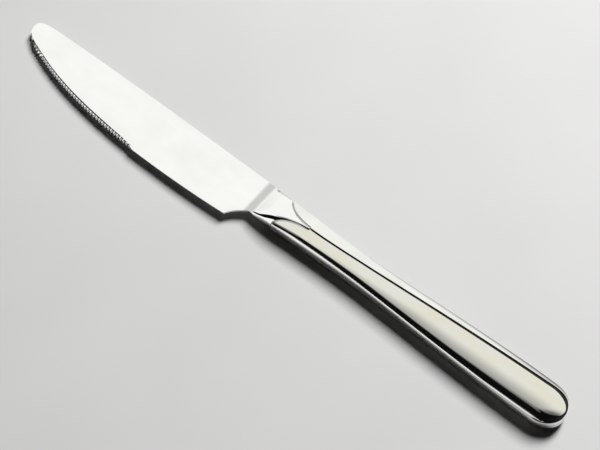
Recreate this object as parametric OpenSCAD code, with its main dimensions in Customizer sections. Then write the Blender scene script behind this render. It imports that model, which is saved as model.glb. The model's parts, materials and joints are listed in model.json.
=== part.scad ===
// Table knife with a forged, serrated blade and a hollow handle of two pressed half-shells.
// The pieces are drawn with the tip at zero, the butt along +X, the spine towards +Y and the
// mid-plane at z = 0. The last step lays the knife on its side, the way it lies on a table.

/* [Overall] */
// Length from the tip to the butt
overall_len = 236; // [225:1:248]
// Length of the blade, from the tip to where the bolster starts to rise
blade_len = 110; // [104:1:116]

/* [Blade] */
// Highest point of the spine above the handle's axis
spine_rise = 7.85; // [7:0.05:9]
// Deepest point of the cutting edge below the handle's axis
edge_drop = 12.7; // [11:0.1:14]
// Thickness of the blade at the spine, beside the bolster
spine_t = 1.7; // [1.5:0.1:1.9]
// Thickness of the blade at the spine's tip
tip_t = 1.1; // [1:0.05:1.3]
// Thickness of the blade at the heel of the cutting edge
heel_t = 0.7; // [0.6:0.05:0.9]

/* [Serration] */
// Where the first tooth is ground, from the tip
serration_from = 7; // [5:0.5:12]
// Where the serrated bevel runs out, from the tip
serration_to = 64; // [55:1:75]
// Distance from tooth to tooth along the edge
tooth_pitch = 1.55; // [1.4:0.05:2]
// Width of the ground bevel, on the face that looks up
bevel_w = 1.3; // [1:0.05:1.6]
// Thickness that the bevel leaves at the toothed edge
land_t = 0.1; // [0.06:0.02:0.16]
// Radius of the wheel that grinds each flute
flute_r = 0.62; // [0.55:0.01:0.68]
// How far a flute bites into the edge
flute_depth = 0.32; // [0.2:0.01:0.4]

/* [Bolster] */
// Length of the bolster, from the blade to its shoulder against the handle
bolster_len = 10.8; // [9:0.1:13]
// Length of the pointed tongue that the bolster lays over each half-shell
tongue_len = 11.7; // [9:0.1:14]
// How far the tongue's point leans towards the spine
tongue_lean = 0.45; // [0:0.05:0.8]
// Width of the sunk joint between tongue and half-shell
joint_w = 0.75; // [0.5:0.05:1]
// How far that joint lies below the handle's surface
joint_recess = 0.3; // [0.15:0.05:0.4]

/* [Handle] */
// Width of the handle at its waist
waist_w = 10.6; // [9.8:0.1:12]
// Width of the handle near the butt
butt_w = 15; // [13:0.1:17]
// Thickness of the handle at the tongue's tip
neck_h = 8.4; // [8:0.1:9.2]
// Thickness of the handle near the butt
butt_h = 9.8; // [9.4:0.1:11]
// Height of the upright side wall at the neck
neck_side_h = 5.6; // [5:0.1:6]
// Height of the upright side wall near the butt
butt_side_h = 4.2; // [3.6:0.1:4.8]
// Length of the rounded butt
butt_round = 8.2; // [6:0.1:10]
// How far the rounded butt thins at its end, on each face
butt_drop = 0.8; // [0.4:0.05:1.1]
// Width of the ledge at the very end of the butt
butt_ledge = 0.55; // [0.4:0.05:0.9]
// How far the ledge would start below the raised panel at the axis
ledge_step = 0.35; // [0.25:0.05:0.5]
// Slope of the raised panel's flank, in degrees
flank_angle = 52; // [46:1:58]
// How far the raised panel curves down at its rim
panel_camber = 0.3; // [0.15:0.05:0.4]
// Width of the groove at the flank's foot
groove_w = 0.5; // [0.35:0.05:0.7]
// Depth of that groove
groove_depth = 0.22; // [0.1:0.02:0.3]
// Rounding between ledge and side wall
rim_r = 0.45; // [0.3:0.05:0.6]

/* [Inside] */
// Sheet thickness of the half-shells
shell_t = 0.8; // [0.6:0.05:0.9]
// Thickness of the brazed seam between the half-shells
seam_t = 0.16; // [0.1:0.02:0.24]
// Length of the spigot that enters the shells, from the shoulder
spigot_len = 20; // [17:0.5:26]
// Thickness of the spigot
spigot_h = 4; // [3.4:0.1:4]
// Gap between the spigot's sides and the shells
spigot_gap = 0.3; // [0.2:0.05:0.6]
// Distance that the tang stops short of the butt
tang_room = 33.2; // [24:0.1:45]
// Width of the tang
tang_w = 4.6; // [4:0.1:5.2]
// Thickness of the tang
tang_t = 2.6; // [2:0.1:3]
// Radius of the keying notches in the tang
notch_r = 0.9; // [0.6:0.1:1.1]
// Clearance between pieces that fit into each other
fit = 0.05; // [0.03:0.01:0.08]

/* [Hidden] */
$fn = 48;

// Places along the knife
shoulder_x = blade_len + bolster_len;
tongue_x = shoulder_x + tongue_len;
butt_x = overall_len - butt_round;
spigot_x = shoulder_x + spigot_len;
tang_len = overall_len - tang_room - spigot_x;
overrun = spine_t;

// Steps in the swept surfaces
side_steps = 18;
end_steps = 8;
panel_steps = 6;
bevel_steps = 32;
foot_steps = 5;

// Outlines of the blade, each a cubic curve. A point is [share of the blade's length, share of the
// spine's rise or, below the axis, of the edge's drop].
nose_shares = [[0, 0.577], [0, 0.88], [0.027, 0.957], [0.082, 0.974]];
spine_shares = [[0.082, 0.974], [0.364, 1.038], [0.727, 0.974], [1, 0.908]];
tip_shares = [[0, 0.577], [0, 0.114], [0.036, -0.15], [0.091, -0.311]];
belly_shares = [[0.091, -0.311], [0.227, -0.756], [0.382, -0.913], [0.573, -0.994]];
edge_shares = [[0.573, -0.994], [0.709, -1.016], [0.836, -0.992], [0.948, -0.925]];
heel_shares = [[0.948, -0.925], [0.952, -0.922], [0.9545, -0.91], [0.955, -0.895]];
notch_shares = [[0.955, -0.895], [0.9636, -0.756], [0.987, -0.488], [1.0236, -0.417]];
// Root of the blade, buried in the bolster
root_shares = [[1.05, -0.35], [1.07, 0.6], [1.03, 0.8]];

// Width of the bevel along the serration, as [share of its length, share of its width]
bevel_shares = [[0, 0.2], [0.08, 0.75], [0.2, 1], [0.9, 1], [1, 0.1]];
// Share of the bevel's width that a flute crosses
flute_run_share = 0.85;

// Sides and rise of the bolster, as [share of its length, share of the size that it follows]
bolster_spine_shares = [[-0.28, 0.88], [-0.12, 0.893], [0.08, 0.897], [0.3, 0.862], [0.6, 0.81],
    [1, 0.768]];
bolster_edge_shares = [[-0.28, 0.5], [-0.12, 0.49], [0.02, 0.462], [0.12, 0.458], [0.3, 0.472],
    [0.6, 0.468], [1, 0.476]];
rise_shares = [[-0.28, -0.05], [-0.14, -0.012], [-0.05, 0.001], [0.06, 0.03], [0.16, 0.095],
    [0.27, 0.21], [0.4, 0.39], [0.55, 0.6], [0.7, 0.8], [0.85, 0.945], [1, 1]];
bolster_station_shares = [-0.28, -0.14, -0.05, 0, 0.06, 0.12, 0.18, 0.26, 0.4, 0.55, 0.7, 0.85, 0.99];

// Edge of the tongue's raised top and foot of its flank, as [share of the bolster and tongue, share
// of the half width]
tongue_shares = [[-0.06, 1.03], [0, 1.02], [0.13, 0.95], [0.35, 0.69], [0.5, 0.49], [0.66, 0.27],
    [0.82, 0.11], [1, 0.02]];
foot_shares = [[0.48, 0.9], [0.54, 0.62], [0.64, 0.36], [0.78, 0.17], [0.9, 0.08], [1, 0.04]];
tongue_station_shares = [0, 0.08, 0.18, 0.3, 0.44, 0.6, 0.8, 1];
// Places across the tongue's top, as shares of its half width
crown_shares = [0.65, 0.25, -0.25, -0.65];

// Widening of the handle from waist to butt, as [place share, share of the difference]
width_shares = [[-0.1, 0.36], [0, 0.32], [0.1, 0.17], [0.22, 0.03], [0.33, 0], [0.47, 0.21],
    [0.61, 0.52], [0.75, 0.78], [0.89, 0.96], [1, 1]];
// Edges of the raised panel, as [place share, share of the half width]
panel_right_shares = [[-0.02, 0.12], [0.06, 0.1], [0.12, 0.09], [0.17, 0.107], [0.235, 0.16],
    [0.3, 0.24], [0.37, 0.33], [0.46, 0.435], [0.6, 0.52], [0.8, 0.6], [1, 0.655]];
panel_left_shares = [[-0.02, 0.87], [0, 0.85], [0.04, 0.78], [0.1, 0.71], [0.3, 0.69], [0.5, 0.73],
    [0.7, 0.72], [0.88, 0.67], [1, 0.64]];
// How full the panel's corner at the butt is on the edge's side: 1 is an ellipse, less is fuller
left_corner_share = 0.86;
// Half of the panel's width that stays flat, as a share
flat_share = 0.4;
// Furthest place of the flank's foot between the panel's edge and the outline
foot_share = 0.7;
// Furthest place of the groove's outer lip between the foot and the rounded rim
lip_share = 0.5;
ledge_column_shares = [0.3, 0.6, 0.82];
inner_column_shares = [0.5];
// Height of the point that the front face is fanned from, as a share of the side wall
mouth_centre_share = 0.6;
// Place of a rounded edge's middle point, as a share of its radius
round_share = 0.3;
// How far the spigot reaches up into the tongue
lip_lap = 0.2;
// Places of the keying notches, as shares of the tang's length
keying_shares = [0.35, 0.7];

function between(a, b, share) = a + (b - a) * share;
function piece(v, table, i = 0) = (i >= len(table) - 2 || v < table[i + 1][0]) ? i : piece(v, table, i + 1);
function rate(table, i) =
    let(a = max(i - 1, 0), b = min(i + 1, len(table) - 1))
    (table[b][1] - table[a][1]) / (table[b][0] - table[a][0]);
// Smooth curve through a table of shares
function curve(v, table) =
    let(
        i = piece(v, table),
        h = table[i + 1][0] - table[i][0],
        q = (v - table[i][0]) / h,
        rest = 1 - q
    )
    table[i][1] * (1 + 2 * q) * rest * rest + rate(table, i) * h * q * rest * rest
    + table[i + 1][1] * (3 - 2 * q) * q * q - rate(table, i + 1) * h * q * q * rest;

function reversed(list) = [for (k = [len(list) - 1:-1:0]) list[k]];
function blade_point(p) = [p[0] * blade_len, p[1] * (p[1] > 0 ? spine_rise : edge_drop)];
function cubic(shares, steps) =
    let(p = [for (s = shares) blade_point(s)])
    [
        for (k = [0:steps - 1])
            let(q = k / steps, rest = 1 - q)
            p[0] * rest * rest * rest + 3 * p[1] * q * rest * rest
                + 3 * p[2] * q * q * rest + p[3] * q * q * q
    ];

// Cutting edge from the tip to the heel, and the whole outline of the blade
edge_line = concat(cubic(tip_shares, 10), cubic(belly_shares, 14), cubic(edge_shares, 8));
blade_outline = concat(
    edge_line,
    cubic(heel_shares, 4),
    cubic(notch_shares, 8),
    [blade_point(notch_shares[3])],
    [for (p = root_shares) blade_point(p)],
    cubic(reversed(spine_shares), 14),
    cubic(reversed(nose_shares), 8)
);

// Each face of the blade is one plane that thins towards the edge and towards the tip
fall_x = (spine_t - tip_t) / 2 / blade_len;
fall_y = (spine_t - heel_t) / 2 / (spine_rise + edge_drop);
function face_z(x, y) = spine_t / 2 - fall_x * (blade_len - x) - fall_y * (spine_rise - y);

function edge_y(x) = lookup(x, edge_line);
function edge_slope(x) = (edge_y(x + tooth_pitch / 2) - edge_y(x - tooth_pitch / 2)) / tooth_pitch;
function tooth_places(x) =
    x > serration_to - tooth_pitch ? []
    : concat([x], tooth_places(x + tooth_pitch * cos(atan(edge_slope(x)))));
function edge_z(x) = land_t - face_z(x, edge_y(x));

// Handle's half width, half thickness and half height of its side wall
function along(x) = (x - shoulder_x) / (butt_x - shoulder_x);
function half_w(x) = between(waist_w, butt_w, curve(along(min(x, butt_x)), width_shares)) / 2;
function taper(x) = (min(x, butt_x) - tongue_x) / (butt_x - tongue_x);
function end_share(x) = max(0, x - butt_x) / butt_round;
function half_h(x) = between(neck_h, butt_h, taper(x)) / 2 - butt_drop * end_share(x) * end_share(x);
function half_side(x) = between(neck_side_h, butt_side_h, max(0, taper(x))) / 2;
// The ledge falls from near the panel's height at the axis to the side wall at the outline
function ledge_z(x, y) =
    let(across = y / half_w(x))
    between(half_h(x) - ledge_step, half_side(x), min(1, across * across + end_share(x) * end_share(x)));

// One side of the handle's section, from the seam up to the raised panel. It runs from the panel's
// edge p out to the outline o, both points in plan.
function side_rib(p, o, inset, base, columns) =
    let(
        reach = norm(o - p),
        way = (o - p) / reach,
        rim = panel_rim(p) - inset,
        depth = groove_depth * min(1, max(0, (p[0] - shoulder_x) / tongue_len)),
        foot = min(flank_foot(p, way, depth), foot_share * reach),
        edge = max(reach - rim_r, between(foot, reach, 1 - round_share)),
        lip = min(foot + groove_w, between(foot, edge, lip_share)),
        wall = half_side(o[0]) - inset
    )
    concat(
        [rib_point(p, way, reach, base), rib_point(p, way, reach, wall - rim_r)],
        [rib_point(p, way, between(reach, edge, round_share), wall - rim_r * round_share)],
        [
            for (d = concat([edge], [for (s = columns) between(edge, lip, s)], [lip]))
                rib_point(p, way, d, ledge_at(p + way * d) - inset)
        ],
        [rib_point(p, way, foot, ledge_at(p + way * foot) - depth - inset), rib_point(p, way, 0, rim)]
    );
function rib_point(p, way, d, z) = [p[0] + way[0] * d, p[1] + way[1] * d, z];
function ledge_at(p) = ledge_z(p[0], p[1]);
function panel_rim(p) = half_h(p[0]) - panel_camber;
// Distance from the panel's edge at which its sloping flank meets the groove, found step by step
function flank_foot(p, way, depth, foot = 0, step = 0) =
    step == foot_steps ? foot
    : let(height = panel_rim(p) + depth - ledge_at(p + way * foot))
        flank_foot(p, way, depth, height / tan(flank_angle), step + 1);

// Rib number i of the handle, counted from the mouth along the spine's side and back
last_rib = 2 * (side_steps + end_steps);
function handle_rib(i, start, inset, base, columns) =
    let(
        side = i <= side_steps + end_steps ? 1 : -1,
        k = min(i, last_rib - i),
        x = between(start, butt_x, min(1, k / side_steps)),
        turn = 90 * max(0, k - side_steps) / end_steps,
        flank_inset = inset * tan(flank_angle / 2),
        edge_share = side > 0 ? curve(along(x), panel_right_shares) : -curve(along(x), panel_left_shares),
        panel_y = edge_share * half_w(x) - side * flank_inset,
        panel_end = (butt_round - inset) * (1 - butt_ledge / butt_round),
        fullness = side > 0 ? 1 : left_corner_share
    )
    side_rib(
        [x + panel_end * pow(sin(turn), fullness), panel_y * pow(cos(turn), fullness)],
        [x + (butt_round - inset) * sin(turn), side * (half_w(x) - inset) * cos(turn)],
        inset, base, columns
    );

// Half of the handle above the mid-plane as one closed form, drawn in from the outside by inset
module handle_half(start, inset, base, columns = ledge_column_shares) {
    ribs = [for (i = [0:last_rib]) handle_rib(i, start, inset, base, columns)];
    cols = len(ribs[0]);
    mid = side_steps + end_steps;
    // Points across the panel, between two opposite ribs
    crowns = [
        for (k = [0:mid - 1])
            let(a = ribs[k][cols - 1], b = ribs[last_rib - k][cols - 1])
            [
                for (c = [1:panel_steps - 1])
                    let(
                        q = c / panel_steps,
                        over = max(0, (abs(2 * q - 1) - flat_share) / (1 - flat_share)),
                        level = half_h(a[0]) - inset
                    )
                    [a[0], between(a[1], b[1], q), level - panel_camber * over * over]
            ]
    ];
    points = concat(
        [for (r = ribs) for (p = r) p],
        [for (r = crowns) for (p = r) p],
        [[start, 0, between(base, half_side(start), mouth_centre_share)]]
    );
    first_crown = len(ribs) * cols;
    centre = len(points) - 1;
    function at(i, j) = i * cols + j;
    function top(k, c) =
        c == 0 || k == mid ? at(k, cols - 1)
        : c == panel_steps ? at(last_rib - k, cols - 1)
        : first_crown + k * (panel_steps - 1) + c - 1;
    faces = concat(
        [
            for (i = [0:last_rib - 1])
                for (j = [0:cols - 2])
                    each quad(at(i, j), at(i, j + 1), at(i + 1, j + 1), at(i + 1, j))
        ],
        [
            for (k = [0:mid - 2])
                for (c = [0:panel_steps - 1])
                    each quad(top(k, c), top(k, c + 1), top(k + 1, c + 1), top(k + 1, c))
        ],
        [for (c = [0:panel_steps - 1]) [top(mid - 1, c + 1), top(mid - 1, c), at(mid, cols - 1)]],
        [
            for (k = [0:mid - 2])
                each quad(at(k, 0), at(k + 1, 0), at(last_rib - k - 1, 0), at(last_rib - k, 0))
        ],
        [[at(mid, 0), at(mid - 1, 0), at(mid + 1, 0)]],
        [for (j = [0:cols - 2]) [centre, at(0, j), at(0, j + 1)]],
        [for (j = [0:cols - 2]) [centre, at(last_rib, j + 1), at(last_rib, j)]],
        [for (c = [0:panel_steps - 1]) [centre, top(0, c), top(0, c + 1)]],
        [[centre, at(last_rib, 0), at(0, 0)]]
    );
    polyhedron(points, faces);
}
function quad(a, b, c, d) = [[a, c, b], [a, d, c]];

// Outline of the handle in plan, drawn in by inset
module handle_plan(start, inset) {
    polygon([for (i = [0:last_rib]) let(p = handle_rib(i, start, inset, 0, [])[0]) [p[0], p[1]]]);
}

// Tongue: centre line, half width of its raised top, and foot of its flank
function tongue_share(x) = (x - blade_len) / (bolster_len + tongue_len);
function tongue_y(x) = tongue_lean * max(0, tongue_share(x)) * max(0, tongue_share(x));
function tongue_w(x) = curve(tongue_share(x), tongue_shares) * half_w(x);
function foot_w(x) = curve(tongue_share(x), foot_shares) * half_w(x);
function joint_out(x) =
    let(slope = (foot_w(x + joint_w / 2) - foot_w(x - joint_w / 2)) / joint_w)
    foot_w(x) + joint_w * sqrt(1 + slope * slope);
lip_z = spigot_h / 2 - lip_lap;
spigot_w = half_w(spigot_x) - shell_t - spigot_gap;

// Width of the tongue's flank, from its raised top down to the ledge beside it
function flank_run(x, top_w) =
    max(0, half_h(x) - panel_camber - ledge_z(x, top_w + ledge_step)) / tan(flank_angle);

// Upper right quarter of the bolster's section, on the side given by +1 or -1
function bolster_side(share, side) =
    let(
        x = blade_len + share * bolster_len,
        w = side > 0
            ? spine_rise * curve(share, bolster_spine_shares)
            : edge_drop * curve(share, bolster_edge_shares),
        up = curve(share, rise_shares),
        wall = neck_side_h / 2,
        rim = half_h(shoulder_x) - panel_camber,
        top_w = min(tongue_w(x), w - 2 * rim_r) + side * tongue_y(x),
        foot = min(top_w + flank_run(shoulder_x, top_w), between(w - rim_r, top_w, round_share)),
        ledge = min(rim, ledge_z(shoulder_x, foot))
    )
    [
        [x, side * w, 0],
        [x, side * w, between(face_z(x, side * w), wall - rim_r, up)],
        [x, side * (w - rim_r * round_share), between(face_z(x, side * w), wall - rim_r * round_share, up)],
        [x, side * (w - rim_r), between(face_z(x, side * w), between(wall, ledge, round_share), up)],
        [x, side * foot, between(face_z(x, side * w), ledge, up)],
        [x, side * top_w, between(face_z(x, side * top_w), rim, up)]
    ];
// The same quarter of the tongue behind the shoulder, over the spigot
function tongue_side(share, side) =
    let(
        x = shoulder_x + share * tongue_len,
        foot = foot_w(x),
        core = min(foot, spigot_w - lip_lap),
        low = ledge_z(x, foot) - joint_recess,
        rim = half_h(x) - panel_camber,
        top_w = tongue_w(x),
        mid = tongue_y(x),
        flank = min(top_w + flank_run(x, top_w), between(foot, top_w, round_share))
    )
    [
        [x, mid + side * core, 0],
        [x, mid + side * core, lip_z],
        [x, mid + side * foot, lip_z],
        [x, mid + side * foot, low],
        [x, mid + side * flank, max(between(low, rim, round_share), ledge_z(x, flank))],
        [x, mid + side * top_w, rim]
    ];
function crown_points(a, b, level) = [
    for (s = crown_shares)
        let(over = max(0, (abs(s) - flat_share) / (1 - flat_share)))
        [a[0], between(a[1], b[1], (1 - s) / 2), level - (level - a[2]) * over * over]
];
function ring(right, left, level) =
    let(upper = concat(right, crown_points(right[5], left[5], level), [for (k = [5:-1:0]) left[k]]))
    concat(upper, [for (k = [len(upper) - 2:-1:1]) [upper[k][0], upper[k][1], -upper[k][2]]]);

// Bolster with the tongue that it lays over both faces of the handle, one loft
module bolster() {
    rings = concat(
        [
            for (s = bolster_station_shares)
                let(
                    x = blade_len + s * bolster_len,
                    level = between(face_z(x, 0), half_h(shoulder_x), curve(s, rise_shares))
                )
                ring(bolster_side(s, 1), bolster_side(s, -1), level)
        ],
        [
            for (s = tongue_station_shares)
                ring(tongue_side(s, 1), tongue_side(s, -1), half_h(shoulder_x + s * tongue_len))
        ]
    );
    n = len(rings[0]);
    last = len(rings) - 1;
    points = concat(
        [for (r = rings) for (p = r) p],
        [[rings[0][0][0], 0, 0], [tongue_x, tongue_lean, 0]]
    );
    faces = concat(
        [
            for (i = [0:last - 1])
                for (j = [0:n - 1])
                    let(k = (j + 1) % n)
                    each quad(i * n + j, i * n + k, (i + 1) * n + k, (i + 1) * n + j)
        ],
        [for (j = [0:n - 1]) [len(points) - 2, j, (j + 1) % n]],
        [for (j = [0:n - 1]) [len(points) - 1, last * n + (j + 1) % n, last * n + j]]
    );
    polyhedron(points, faces);
}

// Everything above one of the blade's ground faces
module face_grind() {
    lean = -atan(fall_x);
    translate([blade_len / 2, 0, face_z(blade_len / 2, 0)])
        rotate([atan(fall_y * cos(lean)), lean, 0])
            translate([-blade_len, -blade_len / 2, 0])
                cube([2 * blade_len, blade_len, 2 * spine_t]);
}

// Wedge that grinds the serrated bevel into the upper face, swept along the edge
module bevel_grind() {
    from = tooth_pitch;
    past_share = 1.3;
    stations = [
        for (k = [0:bevel_steps])
            let(q = k / bevel_steps)
            between(from, serration_to, q * (1 + q) / 2)
    ];
    sections = [
        for (x = stations)
            let(
                slope = edge_slope(x),
                inward = [-slope, 1] / norm([slope, 1]),
                e = [x, edge_y(x)],
                w = bevel_w * curve((x - from) / (serration_to - from), bevel_shares),
                inner = e + inward * w,
                low = edge_z(x),
                high = face_z(inner[0], inner[1]),
                out = e - inward * overrun,
                past = e + inward * w * past_share
            )
            [
                [out[0], out[1], between(low, high, -overrun / w)],
                [past[0], past[1], between(low, high, past_share)],
                [past[0], past[1], 2 * overrun],
                [out[0], out[1], 2 * overrun]
            ]
    ];
    n = len(sections[0]);
    last = len(sections) - 1;
    polyhedron(
        [for (s = sections) for (p = s) p],
        concat(
            [
                for (i = [0:last - 1])
                    for (j = [0:n - 1])
                        let(k = (j + 1) % n)
                        each quad(i * n + j, i * n + k, (i + 1) * n + k, (i + 1) * n + j)
            ],
            quad(3, 2, 1, 0),
            [for (t = quad(0, 1, 2, 3)) [for (v = t) last * n + v]]
        )
    );
}

// One scalloped flute, square to the edge and steeper than the bevel
module flute(x) {
    low = edge_z(x);
    bevel_angle = atan((face_z(x, edge_y(x)) - low) / bevel_w);
    angle = bevel_angle + atan(flute_depth / (flute_run_share * bevel_w));
    translate([x, edge_y(x), low + (flute_r - flute_depth) / cos(angle)])
        rotate([0, 0, atan(edge_slope(x))])
            rotate([angle - 90, 0, 0])
                translate([0, 0, -overrun])
                    cylinder(h = 3 * overrun, r = flute_r);
}

// Blade before its teeth are ground
module blade_blank() {
    difference() {
        linear_extrude(height = 3 * spine_t, center = true) polygon(blade_outline);
        face_grind();
        mirror([0, 0, 1]) face_grind();
        bevel_grind();
    }
}
module blade_plate() {
    difference() {
        blade_blank();
        for (x = tooth_places(serration_from)) flute(x);
    }
}

// Spigot and notched tang, drawn larger by gap for the hole that takes them
module spigot() {
    translate([shoulder_x - overrun, -spigot_w, -spigot_h / 2])
        cube([spigot_len + overrun, 2 * spigot_w, spigot_h]);
}
module tang(gap) {
    difference() {
        translate([spigot_x - overrun, -tang_w / 2 - gap, -tang_t / 2 - gap])
            cube([tang_len + overrun + gap, tang_w + 2 * gap, tang_t + 2 * gap]);
        for (s = keying_shares)
            for (side = [-1, 1])
                translate([spigot_x + s * tang_len, side * tang_w / 2, 0])
                    cylinder(h = 2 * tang_t, r = notch_r - gap, center = true);
    }
}

// V-shaped outline round the tongue, in plan. The band is the joint round the tongue, and the
// notch is all that the half-shell leaves free.
joint_stations = [for (s = tongue_station_shares) shoulder_x + s * tongue_len];
function joint_side(side, outer) = [
    for (x = joint_stations) [x, tongue_y(x) + side * (outer ? joint_out(x) : foot_w(x))]
];
module joint_notch() {
    polygon(concat(
        [[shoulder_x - overrun, joint_out(shoulder_x)]],
        joint_side(1, true),
        [[tongue_x + joint_w, tongue_lean]],
        reversed(joint_side(-1, true)),
        [[shoulder_x - overrun, -joint_out(shoulder_x)]]
    ));
}
module joint_band() {
    polygon(concat(
        joint_side(1, true),
        [[tongue_x + joint_w, tongue_lean]],
        reversed(joint_side(-1, true)),
        joint_side(-1, false),
        reversed(joint_side(1, false))
    ));
}

module half_shell() {
    difference() {
        handle_half(shoulder_x, 0, seam_t / 2);
        handle_half(shoulder_x - overrun, shell_t, -overrun, inner_column_shares);
        translate([0, 0, lip_z - fit]) linear_extrude(height = neck_h) joint_notch();
    }
}

// Lays the knife on the lower panel, with the middle of its box over the origin
rest_tilt = atan((butt_h - neck_h) / 2 / (butt_x - tongue_x));
module at_rest() {
    translate([
        -overall_len / 2 * cos(rest_tilt),
        (edge_drop - spine_rise) / 2,
        neck_h / 2 * cos(rest_tilt) - tongue_x * sin(rest_tilt)
    ])
        rotate([0, -rest_tilt, 0])
            children();
}

module blade() {
    color("#e6e8ea") at_rest() {
        blade_plate();
        bolster();
        spigot();
        tang(0);
    }
}
module front_shell() {
    color("#d9dbd6") at_rest() half_shell();
}
module back_shell() {
    color("#d2d4d0") at_rest() mirror([0, 0, 1]) half_shell();
}
module mouth_braze() {
    color("#9c9c98") at_rest()
        for (side = [0, 1])
            mirror([0, 0, side])
                difference() {
                    intersection() {
                        handle_half(shoulder_x, joint_recess, lip_z);
                        linear_extrude(height = neck_h) joint_band();
                    }
                    spigot();
                }
}
module seam_braze() {
    color("#b8b4a6") at_rest()
        linear_extrude(height = seam_t, center = true)
            difference() {
                handle_plan(shoulder_x, fit);
                handle_plan(shoulder_x - overrun, shell_t);
            }
}
module tang_filler() {
    color("#8d8474") at_rest()
        difference() {
            union() {
                handle_half(spigot_x, shell_t + fit, 0, inner_column_shares);
                mirror([0, 0, 1]) handle_half(spigot_x, shell_t + fit, 0, inner_column_shares);
            }
            tang(fit);
        }
}

blade();
front_shell();
back_shell();
mouth_braze();
seam_braze();
tang_filler();
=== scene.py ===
# %% [markdown]
# Table knife, dressed for its picture.
# The real knife is a forged blade with its bolster, held in a hollow handle of two pressed
# half-shells, with a brazed seam, a brazed mouth and a filler inside. All of that comes from the
# frame at its real size. This lesson gives each piece the finish of the real thing, mostly polished
# stainless steel, and lights the knife so that the polish has something to show. Polish is hard to
# fake: a mirror shows the exact bend of every edge, so the visible pieces are modelled finer here
# than a construction needs, in the same place and at the same size.

# %% Load the frame
import json
import math
import bpy
from mathutils import Matrix, Vector

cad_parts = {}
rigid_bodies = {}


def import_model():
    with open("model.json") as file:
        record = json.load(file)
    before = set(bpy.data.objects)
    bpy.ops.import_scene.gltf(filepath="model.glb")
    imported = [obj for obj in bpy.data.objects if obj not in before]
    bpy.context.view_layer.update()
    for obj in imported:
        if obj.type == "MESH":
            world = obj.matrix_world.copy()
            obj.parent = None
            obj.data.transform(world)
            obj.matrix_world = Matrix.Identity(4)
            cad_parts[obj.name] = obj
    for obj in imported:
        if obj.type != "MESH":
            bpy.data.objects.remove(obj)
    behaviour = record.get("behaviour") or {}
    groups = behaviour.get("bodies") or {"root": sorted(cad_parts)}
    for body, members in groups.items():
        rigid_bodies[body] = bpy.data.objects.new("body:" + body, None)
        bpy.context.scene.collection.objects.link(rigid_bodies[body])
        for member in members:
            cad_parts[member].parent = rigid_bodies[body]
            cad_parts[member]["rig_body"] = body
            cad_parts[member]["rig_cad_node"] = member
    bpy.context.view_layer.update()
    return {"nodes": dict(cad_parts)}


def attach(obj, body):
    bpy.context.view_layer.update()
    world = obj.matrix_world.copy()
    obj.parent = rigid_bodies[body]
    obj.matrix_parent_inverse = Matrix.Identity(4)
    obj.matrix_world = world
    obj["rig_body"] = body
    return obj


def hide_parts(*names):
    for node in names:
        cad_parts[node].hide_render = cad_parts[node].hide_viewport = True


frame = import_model()
nodes = frame["nodes"]
MM = 0.001
print("pieces in the frame:", sorted(nodes))

# %% [markdown]
# The camera stands where the photographer's stood. One could push it about by hand until the
# outlines agree, but a few numbers say it better: the point it looks at, the turn round the upright
# axis, the height angle, the distance and the lens. They were fitted to the knife's own points, its
# tip, heel, shoulders and butt. The frame's length of 236 mm sets the scale.

# %% Camera
VIEW_TURN = math.radians(39.607)
VIEW_RISE = math.radians(60.508)
VIEW_DISTANCE = 500 * MM
VIEW_TARGET = Vector((10.03, 3.359, 4.9)) * MM
SENSOR_WIDTH = 36.0
LENS = 89.435
CLIP_START = 10 * MM


def add_camera():
    """A camera that looks at the target from the turn and rise given."""
    back = Vector((
        math.sin(VIEW_TURN) * math.cos(VIEW_RISE),
        -math.cos(VIEW_TURN) * math.cos(VIEW_RISE),
        math.sin(VIEW_RISE),
    ))
    right = Vector((math.cos(VIEW_TURN), math.sin(VIEW_TURN), 0))
    up = back.cross(right)
    turn = Matrix((right, up, back)).transposed()
    data = bpy.data.cameras.new("photo_camera")
    data.lens = LENS
    data.sensor_width = SENSOR_WIDTH
    data.clip_start = CLIP_START
    camera = bpy.data.objects.new("photo_camera", data)
    camera.matrix_world = Matrix.Translation(VIEW_TARGET + back * VIEW_DISTANCE) @ turn.to_4x4()
    bpy.context.scene.collection.objects.link(camera)
    bpy.context.scene.camera = camera
    return camera


camera = add_camera()
bpy.context.scene.view_settings.view_transform = "Standard"
print("camera at", [round(v / MM, 1) for v in camera.location], "mm")

# %% [markdown]
# Every colour below is an sRGB hex value, the way a paint chart or a picture editor gives it.
# Blender's shaders work in linear light, where a colour that looks mid grey is only about a fifth as
# strong as white. One function turns the hex value round, so that no colour is guessed in between.

# %% Colour helper
SRGB_KNEE = 0.04045


def linear(hex_value):
    """An sRGB colour such as "c8c8c8" as linear RGBA."""
    parts = [int(hex_value[k:k + 2], 16) / 255 for k in (0, 2, 4)]
    return [c / 12.92 if c <= SRGB_KNEE else ((c + 0.055) / 1.055) ** 2.4 for c in parts] + [1]


print("808080 in linear light:", round(linear("808080")[0], 3))

# %% [markdown]
# A material is a small network of nodes. In the editor one drops each node and drags its links. In
# code one small function does both for every kind of node. A socket that has a name of its own is
# called by it. The Mix node has a set of sockets for each kind of data under the same names, so its
# colour sockets are called by number.

# %% Node helper
MIX_SHARE = 0
MIX_A = 6
MIX_B = 7
MIX_RESULT = 2


def add_node(tree, kind, settings=None, links=None):
    """Adds a node. The keys are names of attributes, or names or numbers of input sockets."""
    node = tree.nodes.new(kind)
    for key, value in (settings or {}).items():
        if isinstance(key, int) or key in node.inputs:
            node.inputs[key].default_value = value
        else:
            setattr(node, key, value)
    for key, source in (links or {}).items():
        tree.links.new(source, node.inputs[key])
    return node


print("the Mix node blends its sockets", MIX_A, "and", MIX_B, "by socket", MIX_SHARE)

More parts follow.
